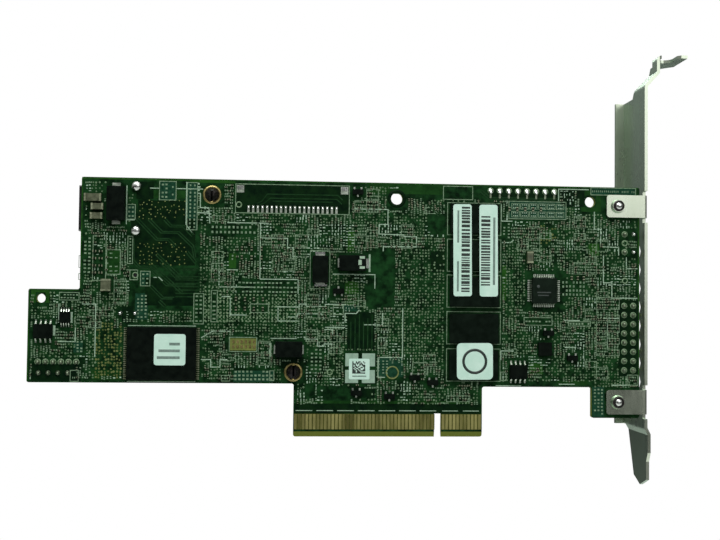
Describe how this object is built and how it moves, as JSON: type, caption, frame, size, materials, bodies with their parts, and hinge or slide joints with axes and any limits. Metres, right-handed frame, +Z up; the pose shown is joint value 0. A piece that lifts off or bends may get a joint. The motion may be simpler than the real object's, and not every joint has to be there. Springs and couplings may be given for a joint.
{
  "type": "raid controller card",
  "caption": "Low-profile storage controller expansion card with edge connector, heatsink, internal SAS receptacle and full-height bracket.",
  "frame": {"origin": "On the bottom edge of the edge-connector tongue, at the key slot's centre line and the middle of the board's thickness.", "axes": "+Z up the board away from the slot, +X along the board towards the bracket, +Y from the solder face through the board to the component side."},
  "size_m": [0.1791, 0.0207, 0.12],
  "materials": {
    "solder_mask": "green solder mask over glass-epoxy laminate",
    "gold_plate": "hard gold plate over nickel",
    "bracket_steel": "nickel-plated cold-rolled steel, bare stamped finish",
    "screw_steel": "zinc-plated steel screw",
    "spring_steel": "plated spring wire",
    "black_mould": "moulded epoxy, fine satin",
    "tinned_metal": "matte tin plate",
    "solder": "reflowed tin solder",
    "ceramic_body": "barium titanate ceramic, satin",
    "resistor_body": "glazed thick-film part",
    "heatsink_aluminium": "extruded and cross-cut aluminium",
    "can_aluminium": "drawn aluminium can",
    "package_green": "organic package substrate",
    "lid_nickel": "nickel-plated copper lid",
    "thermal_rubber": "filled silicone pad",
    "pin_plastic": "black nylon",
    "connector_plastic": "black glass-filled liquid crystal polymer",
    "cage_metal": "tin-plated stainless sheet",
    "label_paper": "white polyester label, matt",
    "lamp_lens": "clear epoxy lens",
    "crystal_metal": "nickel-plated lid"
  },
  "bodies": {
    "root": {"barcode_label_left": "label_paper", "barcode_label_right": "label_paper", "bracket": "bracket_steel", "bracket_screws": "screw_steel", "buzzer": "pin_plastic", "buzzer_pins": "tinned_metal", "can_capacitor_bases": "pin_plastic", "can_capacitors": "can_aluminium", "ceramic_capacitors": "ceramic_body", "ceramic_terminals": "tinned_metal", "chip_passives_back": "resistor_body", "chip_passives_front": "ceramic_body", "chip_terminals_back": "tinned_metal", "chip_terminals_front": "tinned_metal", "choke_terminals": "tinned_metal", "code_label": "label_paper", "crystal": "crystal_metal", "edge_contacts_back": "gold_plate", "edge_contacts_front": "gold_plate", "flash_label": "label_paper", "flash_memory": "black_mould", "flash_memory_leads": "tinned_metal", "flat_no_lead_chip": "black_mould", "header_bodies": "connector_plastic", "header_pins": "gold_plate", "heatsink": "heatsink_aluminium", "inductor_terminals": "tinned_metal", "logic_controller": "black_mould", "logic_controller_leads": "tinned_metal", "memory_chips_back": "black_mould", "memory_chips_front": "black_mould", "moulded_choke": "black_mould", "pcb": "solder_mask", "power_inductors": "black_mould", "power_switches": "black_mould", "processor_lid": "lid_nickel", "processor_substrate": "package_green", "push_pin_springs": "spring_steel", "push_pins": "pin_plastic", "ring_label": "label_paper", "sas_contacts": "gold_plate", "sas_housing": "connector_plastic", "sas_shell": "cage_metal", "small_outline_chips": "black_mould", "small_outline_leads": "tinned_metal", "solder_joints": "solder", "status_lamps": "lamp_lens", "tantalum_capacitors": "black_mould", "tantalum_terminals": "tinned_metal", "thermal_pad": "thermal_rubber", "tinned_pads": "tinned_metal", "transistor_leads": "tinned_metal", "transistors": "black_mould"}
  },
  "joints": []
}
